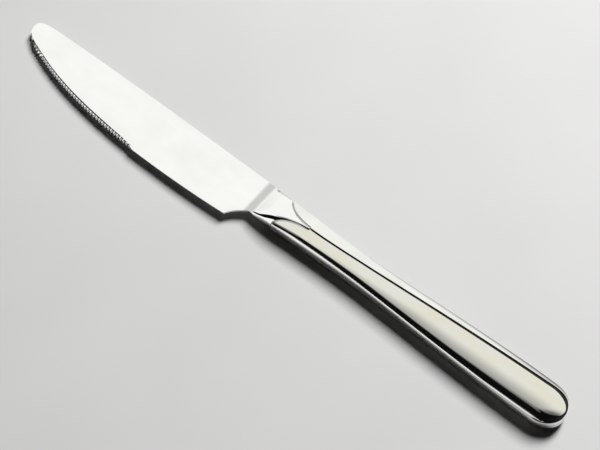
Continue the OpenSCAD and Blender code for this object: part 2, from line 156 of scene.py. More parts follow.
# %% [markdown]
# Metal has grain at several sizes: patches of tint, uneven gloss, and the marks of the wheel. Noise
# gives all of them. It reads Object coordinates, which are metres on this knife, and the Mapping
# node scales them so that one cell of the noise measures the millimetres that are asked for. Cells
# that are longer along the knife than across it read as wheel marks.

# %% Pattern helper
def pattern(tree, across_mm, along_mm, detail=2):
    """Noise whose cells measure the given millimetres across and along the knife."""
    place = add_node(tree, "ShaderNodeTexCoord").outputs["Object"]
    across = 1 / (across_mm * MM)
    lengthways = 1 / (along_mm * MM)
    scaled = add_node(
        tree, "ShaderNodeMapping", {"Scale": (lengthways, across, across)}, {"Vector": place},
    )
    noise = add_node(
        tree, "ShaderNodeTexNoise", {"Scale": 1, "Detail": detail}, {"Vector": scaled.outputs["Vector"]},
    )
    return noise.outputs["Fac"]


print("cells of 1 mm ask for a scale of", round(1 / MM))

# %% [markdown]
# All finishes of this knife are built alike: two tints that drift into each other, a gloss that
# varies between two roughnesses, and a low relief for the light to catch. So one function builds the
# network, and each finish gives it its own sizes. A shade is an extra step on the colour: painted
# shade, for a place that should look darker.

# %% Network of a finish
# Noise seldom strays far from its middle, so only this part of it is spread over the whole range
NOISE_SPREAD = {"From Min": 0.3, "From Max": 0.7}


def grained_material(name, tints, rough, relief_mm, cells, settings, shade=None):
    """A surface whose tint, gloss and relief follow noise, each with cells of its own size."""
    material = bpy.data.materials.new(name)
    material.use_nodes = True
    tree = material.node_tree
    tree.nodes.clear()
    tint_cells, gloss_cells, relief_cells = (pattern(tree, *cell) for cell in cells)
    drift = add_node(tree, "ShaderNodeMapRange", NOISE_SPREAD, {"Value": tint_cells})
    colour = add_node(
        tree, "ShaderNodeMix", {"data_type": "RGBA", MIX_A: linear(tints[0]), MIX_B: linear(tints[1])},
        {MIX_SHARE: drift.outputs["Result"]},
    ).outputs[MIX_RESULT]
    gloss = add_node(
        tree, "ShaderNodeMapRange", {**NOISE_SPREAD, "To Min": rough[0], "To Max": rough[1]},
        {"Value": gloss_cells},
    )
    relief = add_node(
        tree, "ShaderNodeBump", {"Strength": 1, "Distance": relief_mm * MM}, {"Height": relief_cells},
    )
    shader = add_node(tree, "ShaderNodeBsdfPrincipled", settings, {
        "Base Color": shade(tree, colour) if shade else colour,
        "Roughness": gloss.outputs["Result"],
        "Normal": relief.outputs["Normal"],
    })
    add_node(tree, "ShaderNodeOutputMaterial", links={"Surface": shader.outputs["BSDF"]})
    return material


print("noise spread from", NOISE_SPREAD["From Min"], "to", NOISE_SPREAD["From Max"])

# %% [markdown]
# Buffed stainless steel has almost no colour of its own: what the eye reads is what it mirrors. A
# perfect mirror looks like chrome on plastic, though. What makes it steel is faint: wheel marks
# 0.35 mm apart run along the knife as a waviness that only bends the reflections, the gloss is a
# little uneven, and the tint drifts. Real wheel marks are finer still. They are drawn this coarse so
# that they show at all.

# %% Polished steel
METAL = {"Metallic": 1}
FINE_DETAIL = 4
MARK_CELL = (0.35, 14, FINE_DETAIL)
GLOSS_CELL = (2.5, 9)
PATCH_STRETCH = 1.6


def polished_steel(name, tints, patch_mm, rough, relief_mm, shade=None):
    """Buffed stainless steel: mirror-like, with faint wheel marks along the knife."""
    cells = ((patch_mm, patch_mm * PATCH_STRETCH), GLOSS_CELL, MARK_CELL)
    return grained_material(name, tints, rough, relief_mm, cells, METAL, shade)


# The handle's ledge and sides: bright, a touch softer where the buff reaches less well
shell_steel = polished_steel(
    "mirror_polished_sheet", ("ededea", "e4e4e1"), patch_mm=6, rough=(0.05, 0.1), relief_mm=0.00002,
)
print("finish:", shell_steel.name, "with", len(shell_steel.node_tree.nodes), "nodes")

# %% [markdown]
# Between the blade and the bolster the steel sweeps up in a hollow curve, and a grey band of painted
# shade lies across the knife there. It could be a separate material, but then it would start with a
# hard line. So the blade's own material is painted darker along X, fading in and out over 1.6 mm.

# %% Blade steel with painted shade on its fillet
# Millimetres along X in the frame
FILLET_FROM = -9.3
FILLET_TO = -4.6
FILLET_FADE = 1.6
FILLET_SHARE = 0.6
# Tint of the painted shade over the fillet
FILLET_PAINTED_SHADE = "9c9c9b"


def fillet_painted_shade(tree, colour):
    """Paints a band of shade over the hollow sweep between blade and bolster."""
    place = add_node(tree, "ShaderNodeTexCoord").outputs["Object"]
    x = add_node(tree, "ShaderNodeSeparateXYZ", links={"Vector": place}).outputs["X"]
    fade_in = add_node(tree, "ShaderNodeMapRange", {
        "interpolation_type": "SMOOTHSTEP",
        "From Min": FILLET_FROM * MM, "From Max": (FILLET_FROM + FILLET_FADE) * MM,
    }, {"Value": x})
    fade_out = add_node(tree, "ShaderNodeMapRange", {
        "interpolation_type": "SMOOTHSTEP",
        "From Min": (FILLET_TO - FILLET_FADE) * MM, "From Max": FILLET_TO * MM,
        "To Min": FILLET_SHARE, "To Max": 0,
    }, {"Value": x})
    share = add_node(tree, "ShaderNodeMath", {"operation": "MULTIPLY"}, {
        0: fade_in.outputs["Result"], 1: fade_out.outputs["Result"],
    })
    darker = add_node(tree, "ShaderNodeMix", {"data_type": "RGBA", MIX_B: linear(FILLET_PAINTED_SHADE)}, {
        MIX_SHARE: share.outputs["Value"], MIX_A: colour,
    })
    return darker.outputs[MIX_RESULT]


# The blade's bright mirror, near white, with painted shade over the fillet
blade_steel = polished_steel(
    "mirror_polished_blade", ("f2f2f1", "ebebea"), patch_mm=9, rough=(0.04, 0.09), relief_mm=0.00002,
    shade=fillet_painted_shade,
)
print("finish:", blade_steel.name, "painted_shade_band from", FILLET_FROM, "to", FILLET_TO, "mm")

# %% [markdown]
# Some painted shades follow the form and not an axis: the raised panel is painted greyer towards its
# cutting side, and the ground bevel gets a painted dark line of shade along the curved belly. A
# painter would mask them. Here each point of the mesh keeps a share, an attribute that says how far
# across the panel or how deep in the bevel it lies, and the material reads it. The shares themselves
# are worked out once the meshes exist.

# %% Shade that follows a share
def share_shade(attribute, start, end, tint):
    """A painted shade that blends in another tint as a share kept on the mesh goes from start to end."""

    def shade(tree, colour):
        share = add_node(tree, "ShaderNodeAttribute", {"attribute_name": attribute}).outputs["Fac"]
        ramp = add_node(tree, "ShaderNodeMapRange", {
            "interpolation_type": "SMOOTHSTEP",
            "From Min": min(start, end), "From Max": max(start, end),
            "To Min": float(start > end), "To Max": float(end > start),
        }, {"Value": share})
        blend = add_node(tree, "ShaderNodeMix", {"data_type": "RGBA", MIX_B: linear(tint)}, {
            MIX_SHARE: ramp.outputs["Result"], MIX_A: colour,
        })
        return blend.outputs[MIX_RESULT]

    return shade


# The raised panel: a painted warm, slightly greenish reflection tint with soft patches, and painted
# shade that turns it greyer to one side
panel_steel = polished_steel(
    "polished_panel_painted_sheen_shade", ("d9d8c8", "dcdbd6"), patch_mm=7, rough=(0.07, 0.13), relief_mm=0.00003,
    shade=share_shade("panel_painted_shade", start=0.45, end=1.02, tint="9c9c98"),
)
print("finish:", panel_steel.name)

# %% [markdown]
# The other surfaces are dull, and what the eye reads there is their grain: the bevel as the stone
# left it, the groove that the buff can't enter, the braze, and the cement inside. One even grain
# gives each its tint, its gloss and its relief. The groove's near black is painted shade and painted
# dark reflection, on a dull surface of its own, so it is not metallic and has next to no shine.

# %% Dull surfaces
NOT_METAL = {"Metallic": 0, "Specular IOR Level": 0.1}


def dull_surface(name, tints, grain_mm, rough, relief_mm, settings, shade=None):
    """A surface that no buff has reached: one even grain gives its tint, gloss and relief."""
    cells = 3 * ((grain_mm, grain_mm, FINE_DETAIL),)
    return grained_material(name, tints, rough, relief_mm, cells, settings, shade)


# The serrated bevel, ground and only lightly buffed: grey, with a painted dark line of shade where it
# starts. Its grain is finer than the picture can show, and only takes the edge off its shine
bevel_steel = dull_surface(
    "ground_bevel_painted_shade_line", ("8a8a89", "b4b4b3"), grain_mm=0.12, rough=(0.22, 0.34), relief_mm=0.002,
    settings=METAL, shade=share_shade("bevel_painted_shade", start=0.6, end=0.2, tint="0c0c0c"),
)
# The groove and its flank, painted near black as shade and dark reflection, on a dull surface
painted_groove_dark = dull_surface(
    "groove_painted_shade", ("080808", "131312"), grain_mm=0.3, rough=(0.45, 0.6), relief_mm=0.004,
    settings=NOT_METAL,
)
# The brazed joint, a dull grey line with a cast grain
joint_metal = dull_surface(
    "dull_braze", ("c2c2bf", "a9a9a6"), grain_mm=0.25, rough=(0.35, 0.5), relief_mm=0.004,
    settings=METAL,
)
# The cement that fills the hollow handle, chalky and grainy
cement = dull_surface(
    "chalky_cement", ("cfc8ba", "bdb5a6"), grain_mm=0.8, rough=(0.85, 0.95), relief_mm=0.03,
    settings=NOT_METAL,
)
print("finishes:", [material.name for material in bpy.data.materials])

# %% [markdown]
# Now the handle. Seen from above it narrows to a waist a third of the way along and widens again to
# a round butt. The outline could be a curve object, but everything else on the handle follows it, so
# it is a rule: the half width at any place along the knife. A smooth curve runs through a short
# table of shares, where 0 is the waist's width and 1 the butt's. Lengths are in the knife's own
# millimetres, with the tip at 0, and the finished pieces are laid in their place at the end.

# %% Outline of the handle
OVERALL_LEN = 236
BLADE_LEN = 110
BOLSTER_LEN = 10.8
BUTT_ROUND = 8.2
WAIST_W = 10.6
BUTT_W = 15
SHOULDER_X = BLADE_LEN + BOLSTER_LEN
BUTT_X = OVERALL_LEN - BUTT_ROUND
WIDTH_SHARES = (
    (-0.1, 0.36), (0, 0.32), (0.1, 0.17), (0.22, 0.03), (0.33, 0), (0.47, 0.21),
    (0.61, 0.52), (0.75, 0.78), (0.89, 0.96), (1, 1),
)


def between(a, b, share):
    """The value that lies a share of the way from a to b."""
    return a + (b - a) * share


def curve(place, table):
    """Smooth curve through a table of places and shares."""
    last = len(table) - 1
    i = 0
    while i < last - 1 and place >= table[i + 1][0]:
        i += 1

    def rate(k):
        before, after = max(k - 1, 0), min(k + 1, last)
        return (table[after][1] - table[before][1]) / (table[after][0] - table[before][0])

    run = table[i + 1][0] - table[i][0]
    q = (place - table[i][0]) / run
    rest = 1 - q
    start = table[i][1] * (1 + 2 * q) + rate(i) * run * q
    end = table[i + 1][1] * (1 + 2 * rest) - rate(i + 1) * run * rest
    return start * rest * rest + end * q * q


def along(x):
    """Share of the way from the shoulder to where the butt starts to round."""
    return (x - SHOULDER_X) / (BUTT_X - SHOULDER_X)


def half_w(x):
    """Half of the handle's width."""
    return between(WAIST_W, BUTT_W, curve(along(min(x, BUTT_X)), WIDTH_SHARES)) / 2


print("widths:", [(x, round(2 * half_w(x), 1)) for x in (SHOULDER_X, 160, 190, BUTT_X)])

# %% [markdown]
# Seen from the side the handle gets slowly thicker towards the butt, while its upright side wall
# gets lower. Between the wall and the raised panel lies the ledge, which is crowned: it falls from
# near the panel's height at the axis down to the wall's top. Each of these is a rule as well, and
# the sections below only have to ask for a height.

# %% Heights of the handle
TONGUE_LEN = 11.7
TONGUE_X = SHOULDER_X + TONGUE_LEN
NECK_H = 8.4
BUTT_H = 9.8
NECK_SIDE_H = 5.6
BUTT_SIDE_H = 4.2
BUTT_DROP = 0.8
LEDGE_STEP = 0.35


def taper(x):
    """Share of the way from the tongue's point to the butt."""
    return (min(x, BUTT_X) - TONGUE_X) / (BUTT_X - TONGUE_X)


def end_share(x):
    """Share of the way through the butt's rounding."""
    return max(0, x - BUTT_X) / BUTT_ROUND


def half_h(x):
    """Half of the handle's height at its axis."""
    return between(NECK_H, BUTT_H, taper(x)) / 2 - BUTT_DROP * end_share(x) ** 2


def half_side(x):
    """Half of the side wall's height."""
    return between(NECK_SIDE_H, BUTT_SIDE_H, max(0, taper(x))) / 2


def ledge_z(x, y):
    """The ledge falls from near the panel's height at the axis to the side wall at the outline."""
    across = y / half_w(x)
    return between(half_h(x) - LEDGE_STEP, half_side(x), min(1, across ** 2 + end_share(x) ** 2))


print("heights:", [(x, round(2 * half_h(x), 1)) for x in (TONGUE_X, 160, 190, BUTT_X)])

# %% [markdown]
# A press rounds every bend, and on polished steel each rounding is a bright or a dark line, so no
# corner of the section may stay sharp. The Bevel modifier could round them, with one width for the
# whole piece. But the real roundings differ from bend to bend, and one of them changes along the
# handle. So each corner gets its own short curve while the section is drawn.

# %% Rounded corners
ROUND_STEPS = 5
RUN_SHARE = 0.45
WIDE_RUN_SHARE = 0.7


def rounded(corner, before, after, radius, steps=ROUND_STEPS, start_radius=0):
    """A rounded corner between two straight runs, wider on the first one if a start radius is given."""
    corner, before, after = Vector(corner), Vector(before), Vector(after)
    start = min(radius, (before - corner).length * RUN_SHARE)
    if start_radius:
        start = min(start_radius, (before - corner).length * WIDE_RUN_SHARE)
    end = min(radius, (after - corner).length * RUN_SHARE)
    a = corner + (before - corner).normalized() * start
    b = corner + (after - corner).normalized() * end
    return [
        a * (1 - q) ** 2 + corner * 2 * q * (1 - q) + b * q ** 2
        for q in (k / steps for k in range(steps + 1))
    ]


print("a rounded corner has", len(rounded((0, 0), (0, 1), (1, 0), 0.2)), "points")

# %% [markdown]
# The section of a half-shell starts at the seam and runs up the side wall, round the rim, inwards
# over the ledge, down into a narrow groove, up a flank of 52 degrees and over the crowned panel to
# the centre line. In the photograph the groove and the flank are the black lines, and the panel is
# the long bright field. The flank keeps its angle everywhere, so the place of its foot follows from
# the heights: a few passes find where flank and ledge meet. Where there is no room for the whole
# groove, it gets shallower.

# %% Foot of the flank and crown of the panel
FLANK_ANGLE = math.radians(52)
FOOT_PASSES = 5
FOOT_MOST = 0.7
PANEL_CAMBER = 0.3
PANEL_STEPS = 14
FLAT_SHARE = 0.4


def flank_foot(rim, depth, reach, ledge):
    """How far outside the panel's edge the flank meets the groove's floor."""
    foot = 0
    for step in range(FOOT_PASSES):
        foot = (rim + depth - ledge(foot)) / math.tan(FLANK_ANGLE)
    return min(foot, FOOT_MOST * reach)


def crowned_panel(start, pole, width, inset):
    """Points from the panel's edge over its crown to the centre line."""
    points = []
    for k in range(1, PANEL_STEPS + 1):
        place = start.lerp(pole, k / PANEL_STEPS)
        over = max(0, ((place - pole).length / width - FLAT_SHARE) / (1 - FLAT_SHARE))
        points.append((place.x, place.y, half_h(place.x) - PANEL_CAMBER * over ** 2 - inset))
    return points


print("flank:", round(math.degrees(FLANK_ANGLE)), "degrees, crown:", PANEL_CAMBER, "mm")

# %% Section of the half-shell
SEAM_T = 0.16
GROOVE_W = 0.5
GROOVE_DEPTH = 0.22
GROOVE_R = 0.07
RIM_R = 0.45
WALL_R = 1.2
EDGE_SHARE = 0.7
LIP_SHARE = 0.5
SOFT_SHARE = 0.4
CROWN_REACH = 3
RIM_STEPS = 7
LEDGE_STEPS = 8
FLANK_STEPS = 3


def shell_section(edge_point, outline_point, pole, inset, panel_r):
    """Points of one section, from the seam over wall, ledge, groove and flank to the centre line."""
    p, o = Vector(edge_point), Vector(outline_point)
    reach = (o - p).length
    way = (o - p) / reach
    width = (p - pole).length

    def ledge(d):
        place = p + way * d
        return ledge_z(place.x, place.y)

    rim = half_h(p.x) - PANEL_CAMBER
    depth = GROOVE_DEPTH * min(1, max(0, (p.x - SHOULDER_X) / TONGUE_LEN))
    foot = flank_foot(rim, depth, reach, ledge)
    depth = min(depth, max(0, foot * math.tan(FLANK_ANGLE) - rim + ledge(foot)))
    edge = max(reach - RIM_R, between(foot, reach, EDGE_SHARE))
    lip = min(foot + GROOVE_W, between(foot, edge, LIP_SHARE))
    steps = [between(edge, lip, k / LEDGE_STEPS) for k in range(LEDGE_STEPS + 1)]
    ledge_run = [Vector((d, ledge(d))) for d in steps]
    seam = Vector((reach, SEAM_T / 2 + inset))
    wall = Vector((reach, half_side(o.x)))
    hollow = Vector((foot, ledge(foot) - depth))
    top = Vector((0, rim))
    panel_r = min(panel_r, SOFT_SHARE * width)
    over = 1 - panel_r / width / (1 - FLAT_SHARE)
    crown = (-CROWN_REACH * panel_r, rim + CROWN_REACH * PANEL_CAMBER * (1 - over ** 2))
    section = [seam]
    section += rounded(wall, seam, ledge_run[0], RIM_R, RIM_STEPS, WALL_R)
    section += ledge_run[1:-1]
    section += rounded(ledge_run[-1], ledge_run[-2], hollow, GROOVE_R)
    section.append(ledge_run[-1].lerp(hollow, 0.5))
    section += rounded(hollow, ledge_run[-1], top, GROOVE_R)
    section += [hollow.lerp(top, k / FLANK_STEPS) for k in range(1, FLANK_STEPS)]
    section += rounded(top, hollow, crown, panel_r, ROUND_STEPS, panel_r)
    points = [(p.x + way.x * d, p.y + way.y * d, z - inset) for d, z in section]
    return points + crowned_panel(Vector(points[-1][:2]), pole, width, inset)


print("groove:", GROOVE_W, "mm wide and", GROOVE_DEPTH, "mm deep")

# %% [markdown]
# The raised panel isn't a copy of the outline: at the mouth it lies almost wholly on the cutting
# side, and on its way to the butt it widens towards the spine's side too. Two more tables of shares
# say where it ends on either side. Its edge is crisp on the spine's side and softer on the cutting
# side, most of all at the mouth, where the real panel seems to melt into the ledge.

# %% Edges of the panel
PANEL_RIGHT_SHARES = (
    (-0.02, 0.1), (0.06, 0.075), (0.12, 0.06), (0.17, 0.07), (0.235, 0.12), (0.3, 0.185),
    (0.37, 0.25), (0.46, 0.33), (0.6, 0.425), (0.8, 0.51), (1, 0.57),
)
PANEL_LEFT_SHARES = (
    (-0.02, 0.87), (0, 0.85), (0.04, 0.78), (0.1, 0.71), (0.3, 0.69), (0.5, 0.73),
    (0.7, 0.72), (0.88, 0.67), (1, 0.64),
)
PANEL_EDGE_R = 0.12
PANEL_SOFT_R = 0.5
MOUTH_SOFT_R = 1.3
MOUTH_SOFT_TO = 132.5
MOUTH_SOFT_RATE = 3


def panel_edges(x):
    """Where the raised panel ends on the spine's side and on the cutting side."""
    place = along(min(x, BUTT_X))
    right = curve(place, PANEL_RIGHT_SHARES) * half_w(x)
    left = -curve(place, PANEL_LEFT_SHARES) * half_w(x)
    return right, left


def panel_softness(x, side, cosine):
    """Radius of the panel's edge."""
    if side > 0:
        return PANEL_EDGE_R
    soft = between(PANEL_EDGE_R, PANEL_SOFT_R, max(0, along(x)) * cosine)
    near_mouth = max(0, (MOUTH_SOFT_TO - x) / (MOUTH_SOFT_TO - SHOULDER_X))
    return between(soft, MOUTH_SOFT_R, min(1, MOUTH_SOFT_RATE * near_mouth))


print("panel at the butt:", [round(y, 1) for y in panel_edges(BUTT_X)], "mm from the axis")

# %% [markdown]
# The sections stand like ribs: along one side from the mouth to the butt, fanned out round the
# butt, and back along the other side. Each rib reaches from the outline to its pole, a point on the
# panel's centre line. The rib of the other side ends there too, and so do all ribs round the butt.
# The inner skin is the same set of ribs, set in by the thickness of the sheet.

# %% Ribs of the half-shell
SIDE_ROWS = 100
END_ROWS = 26
BUTT_LEDGE = 0.55
LEFT_CORNER_SHARE = 0.86


def shell_rows(start, inset):
    """Sections round the handle, from the mouth along the spine's side, round the butt and back."""
    rows = []
    flank_inset = inset * math.tan(FLANK_ANGLE / 2)
    panel_end = (BUTT_ROUND - inset) * (1 - BUTT_LEDGE / BUTT_ROUND)
    last = 2 * (SIDE_ROWS + END_ROWS)
    for i in range(last + 1):
        side = 1 if i <= SIDE_ROWS + END_ROWS else -1
        corner = 1 if side > 0 else LEFT_CORNER_SHARE
        k = min(i, last - i)
        x = between(start, BUTT_X, min(1, k / SIDE_ROWS))
        turn = math.radians(90 * max(0, k - SIDE_ROWS) / END_ROWS)
        sine, cosine = math.sin(turn), max(0, math.cos(turn))
        right, left = panel_edges(x)
        right, left = right - flank_inset, left + flank_inset
        edge_y = right if side > 0 else left
        edge_point = (x + panel_end * sine ** corner, edge_y * cosine ** corner)
        outline_point = (x + (BUTT_ROUND - inset) * sine, side * (half_w(x) - inset) * cosine)
        pole = Vector((x, (right + left) / 2))
        soft = panel_softness(x, side, cosine)
        rows.append(shell_section(edge_point, outline_point, pole, inset, soft))
    return rows


SHELL_T = 0.8
outer_rows = shell_rows(SHOULDER_X, 0)
inner_rows = shell_rows(SHOULDER_X, SHELL_T)
print("ribs:", len(outer_rows), "with", len(outer_rows[0]), "points each")

# %% [markdown]
# The ribs become a skin. A section that changes all the way from the neck to the butt can't be
# extruded or spun. So a plain grid is added with one vertex for each point of the ribs, and its
# vertices are laid on them. Then what lies double is merged, because the ribs meet at their poles.
# The rim that is still open at the mouth is closed, and all faces are turned outwards.

# %% Grid and merge helpers
def add_grid(name, rows):
    """A grid with one vertex for each point of the rows."""
    bpy.ops.object.select_all(action="DESELECT")
    columns = len(rows[0])
    bpy.ops.mesh.primitive_grid_add(x_subdivisions=columns - 1, y_subdivisions=len(rows) - 1)
    piece = bpy.context.object
    piece.name = piece.data.name = name
    points = [value for row in rows for point in row for value in point]
    assert len(points) == 3 * len(piece.data.vertices)
    piece.data.vertices.foreach_set("co", points)
    piece.data.update()
    return piece


def merged(piece, distance, rims=1):
    """Merges doubles, closes one open rim or more with a face and turns all faces outwards."""
    bpy.context.view_layer.objects.active = piece
    bpy.ops.object.mode_set(mode="EDIT")
    bpy.ops.mesh.select_all(action="SELECT")
    bpy.ops.mesh.remove_doubles(threshold=distance)
    if rims > 1:
        bpy.ops.mesh.fill_holes(sides=0)
    else:
        bpy.ops.mesh.select_all(action="DESELECT")
        bpy.ops.mesh.select_mode(type="EDGE")
        bpy.ops.mesh.select_non_manifold()
        bpy.ops.mesh.edge_face_add()
        bpy.ops.mesh.select_mode(type="VERT")
    bpy.ops.mesh.select_all(action="SELECT")
    bpy.ops.mesh.normals_make_consistent(inside=False)
    bpy.ops.object.mode_set(mode="OBJECT")
    return piece


print("the skin starts with", 2 * len(outer_rows) * len(outer_rows[0]), "vertices")

# %% [markdown]
# Three finishes meet on the sheet: the bright ledge and side, the panel with its painted warm tint
# and shade, and the groove with its flank, painted dark as shade. On the real handle they meet at
# bends, and a bend is a column of the grid. So each face takes its finish from its column, which
# gives clean, even lines. On the spine's side the painted dark starts just before the lip. Along the
# cutting side the flank stays polished, because it mirrors the dark low side of the room there and
# turns black by itself.

# %% Finish of each column
LIP_COLUMN = 1 + RIM_STEPS + LEDGE_STEPS + ROUND_STEPS + 1
FOOT_COLUMN = LIP_COLUMN + 1 + ROUND_STEPS // 2
PANEL_COLUMN = LIP_COLUMN + 1 + 2 * ROUND_STEPS + FLANK_STEPS + 1
LIP_SPARE = 2
DARK_FLANK_ROWS = SIDE_ROWS + 2 * END_ROWS - 3
PANEL_SLOT = 1
GROOVE_SLOT = 2


def mark_columns(piece, count):
    """Gives the outside's faces their finish by column. What isn't marked stays bright sheet."""
    for face in piece.data.polygons:
        column = min(v % (2 * count) for v in face.vertices) - count
        row = min(v // (2 * count) for v in face.vertices)
        dark_from = LIP_COLUMN - LIP_SPARE if row < SIDE_ROWS + END_ROWS else LIP_COLUMN
        dark_to = PANEL_COLUMN - 1 if row < DARK_FLANK_ROWS else FOOT_COLUMN
        if dark_from <= column < dark_to:
            # Painted dark shade on the groove and its flank
            face.material_index = GROOVE_SLOT
        elif column >= PANEL_COLUMN - 1 - ROUND_STEPS:
            face.material_index = PANEL_SLOT


print("the groove and its flank take columns", LIP_COLUMN - LIP_SPARE, "to", PANEL_COLUMN - 2)

# %% Upper half-shell
SHELL_MERGE = 0.0005
handle_front = add_grid("handle_front", [i[::-1] + o for i, o in zip(inner_rows, outer_rows)])
for material in (shell_steel, panel_steel, painted_groove_dark):
    handle_front.data.materials.append(material)
mark_columns(handle_front, len(outer_rows[0]))
merged(handle_front, SHELL_MERGE)
print("handle_front:", len(handle_front.data.vertices), "vertices")

# %% [markdown]
# The bolster reaches over the handle with a pointed tongue, and the half-shell has a notch of the
# same shape, wider all round by the brazed joint. On the bench one would punch or saw it. Here a
# circle with as many corners as the notch's outline is laid along it and extruded, and a Boolean
# modifier takes it out of the shell. The fast solver is used, because the exact one left nothing of
# this shell.

# %% Outline of the notch
JOINT_W = 0.75
TONGUE_LEAN = 0.45
NOTCH_STEPS = 24
TONGUE_FOOT_SHARES = (
    (0.48, 0.9), (0.54, 0.62), (0.64, 0.36), (0.78, 0.17), (0.9, 0.08), (1, 0.04),
)


def foot_w(x):
    """Half width of the tongue at its foot."""
    return curve((x - BLADE_LEN) / (BOLSTER_LEN + TONGUE_LEN), TONGUE_FOOT_SHARES) * half_w(x)


def tongue_y(x):
    """The tongue leans towards the spine's side."""
    share = max(0, (x - BLADE_LEN) / (BOLSTER_LEN + TONGUE_LEN))
    return TONGUE_LEAN * share * share


def joint_out(x):
    """Half width of the notch, the joint's width outside the tongue's foot, square to its edge."""
    slope = (foot_w(x + JOINT_W / 2) - foot_w(x - JOINT_W / 2)) / JOINT_W
    return foot_w(x) + JOINT_W * math.sqrt(1 + slope * slope)


def notch_outline():
    """Outline in plan of all that the half-shell leaves free for the tongue and its joint."""
    stations = [SHOULDER_X + TONGUE_LEN * k / NOTCH_STEPS for k in range(NOTCH_STEPS + 1)]
    right = [(x, tongue_y(x) + joint_out(x)) for x in stations]
    left = [(x, tongue_y(x) - joint_out(x)) for x in reversed(stations)]
    mouth = SHOULDER_X - SHELL_T
    return (
        [(mouth, joint_out(SHOULDER_X))] + right + [(TONGUE_X + JOINT_W, TONGUE_LEAN)] + left
        + [(mouth, -joint_out(SHOULDER_X))]
    )


print("notch:", round(2 * joint_out(SHOULDER_X), 1), "mm wide at the mouth")

# %% Notch
LIP_Z = 1.8
LIP_GAP = 0.05


def cut_notch(piece):
    """Cuts the notch out of a half-shell, down to the spigot that fills the mouth."""
    bpy.ops.object.select_all(action="DESELECT")
    outline = notch_outline()
    bpy.ops.mesh.primitive_circle_add(vertices=len(outline), fill_type="NGON")
    cutter = bpy.context.object
    bottom = LIP_Z - LIP_GAP
    cutter.data.vertices.foreach_set("co", [v for x, y in outline for v in (x, y, bottom)])
    bpy.ops.object.mode_set(mode="EDIT")
    bpy.ops.mesh.select_all(action="SELECT")
    bpy.ops.mesh.extrude_region_move(TRANSFORM_OT_translate={"value": (0, 0, NECK_H)})
    bpy.ops.mesh.select_all(action="SELECT")
    bpy.ops.mesh.normals_make_consistent(inside=False)
    bpy.ops.object.mode_set(mode="OBJECT")
    bpy.ops.object.select_all(action="DESELECT")
    bpy.context.view_layer.objects.active = piece
    piece.select_set(True)
    cut = piece.modifiers.new("notch", "BOOLEAN")
    cut.operation = "DIFFERENCE"
    cut.solver = "FAST"
    cut.object = cutter
    bpy.ops.object.modifier_apply(modifier="notch")
    bpy.data.objects.remove(cutter)


cut_notch(handle_front)
print("handle_front after the notch:", len(handle_front.data.vertices), "vertices")

# %% [markdown]
# The panel's painted shade waits for its share: 0 at the panel's spine side, 1 at its cutting side.
# Near the mouth the real panel is bright almost to its edge, so the share, and with it the painted
# shade, comes late there. It is kept as an attribute on the points, which any copy of the mesh takes
# along.

# %% Share across the panel
LATE_SHARE = 0.45
LATE_TO = 0.55


def add_panel_painted_shade(piece):
    """Says how far across the panel each point lies, with less of it near the mouth: the mask of the
    painted shade.
    """
    share = piece.data.attributes.new("panel_painted_shade", "FLOAT", "POINT")
    for vertex in piece.data.vertices:
        right, left = panel_edges(vertex.co.x)
        late = LATE_SHARE * max(0, 1 - along(min(vertex.co.x, BUTT_X)) / LATE_TO)
        share.data[vertex.index].value = (right - vertex.co.y) / (right - left) - late


add_panel_painted_shade(handle_front)
print("attributes of handle_front:", [a.name for a in handle_front.data.attributes])

# %% [markdown]
# The bolster is forged in one piece with the blade. It rises out of the flat blade in a hollow
# sweep, and over 11 mm it becomes as thick as the handle. On the top it is crowned like the
# handle's panel. On the cutting side a valley starts beside the tongue. Its faces are painted dark
# as shade, like the groove that it runs into. Here the bolster is a loft, with a profile for every
# place along the knife. Its widths are shares of the blade's rise and drop, and its height is a share
# of the way from the blade's face to the handle's.

# %% Rules of the bolster
SPINE_RISE = 7.85
EDGE_DROP = 12.7
SPINE_T = 1.7
TIP_T = 1.1
HEEL_T = 0.7
FALL_X = (SPINE_T - TIP_T) / 2 / BLADE_LEN
FALL_Y = (SPINE_T - HEEL_T) / 2 / (SPINE_RISE + EDGE_DROP)
CROWN_STEPS = 12
TONGUE_SHARES = (
    (-0.06, 1.03), (0, 1.02), (0.13, 0.95), (0.35, 0.69), (0.5, 0.49), (0.66, 0.27),
    (0.82, 0.11), (1, 0.02),
)


def face_z(x, y):
    """Height of the blade's ground face, which falls towards the tip and the edge."""
    return SPINE_T / 2 - FALL_X * (BLADE_LEN - x) - FALL_Y * (SPINE_RISE - y)


def tongue_w(x):
    """Half width of the raised top that narrows to the tongue's point."""
    return curve((x - BLADE_LEN) / (BOLSTER_LEN + TONGUE_LEN), TONGUE_SHARES) * half_w(x)


def crowned(section, top_w, level):
    """Runs a section on over the crowned top, from its edge to the axis."""
    start = section[-1].x
    low = level - PANEL_CAMBER
    for k in range(1, CROWN_STEPS + 1):
        y = start * (1 - k / CROWN_STEPS)
        over = max(0, (y / top_w - FLAT_SHARE) / (1 - FLAT_SHARE))
        section.append(Vector((y, level - (level - low) * over ** 2)))
    return section


print("blade at the heel:", round(2 * face_z(BLADE_LEN, 0), 2), "mm thick on the axis")

# %% Profile of the bolster
BOLSTER_SPINE_SHARES = (
    (-0.28, 0.88), (-0.12, 0.893), (0.08, 0.897), (0.3, 0.862), (0.6, 0.81), (1, 0.768),
)
BOLSTER_EDGE_SHARES = (
    (-0.28, 0.5), (-0.12, 0.49), (0.02, 0.462), (0.12, 0.458), (0.3, 0.472), (0.6, 0.468),
    (1, 0.476),
)
RISE_SHARES = (
    (-0.28, -0.05), (-0.14, -0.012), (-0.05, 0.001), (0.06, 0.03), (0.16, 0.095), (0.27, 0.21),
    (0.4, 0.39), (0.55, 0.6), (0.7, 0.8), (0.85, 0.945), (1, 1),
)
VALLEY_DROP = 0.06
VALLEY_Z = NECK_SIDE_H / 2 - VALLEY_DROP
VALLEY_SHARE = 0.3
SHOULDER_SHARE = 0.5


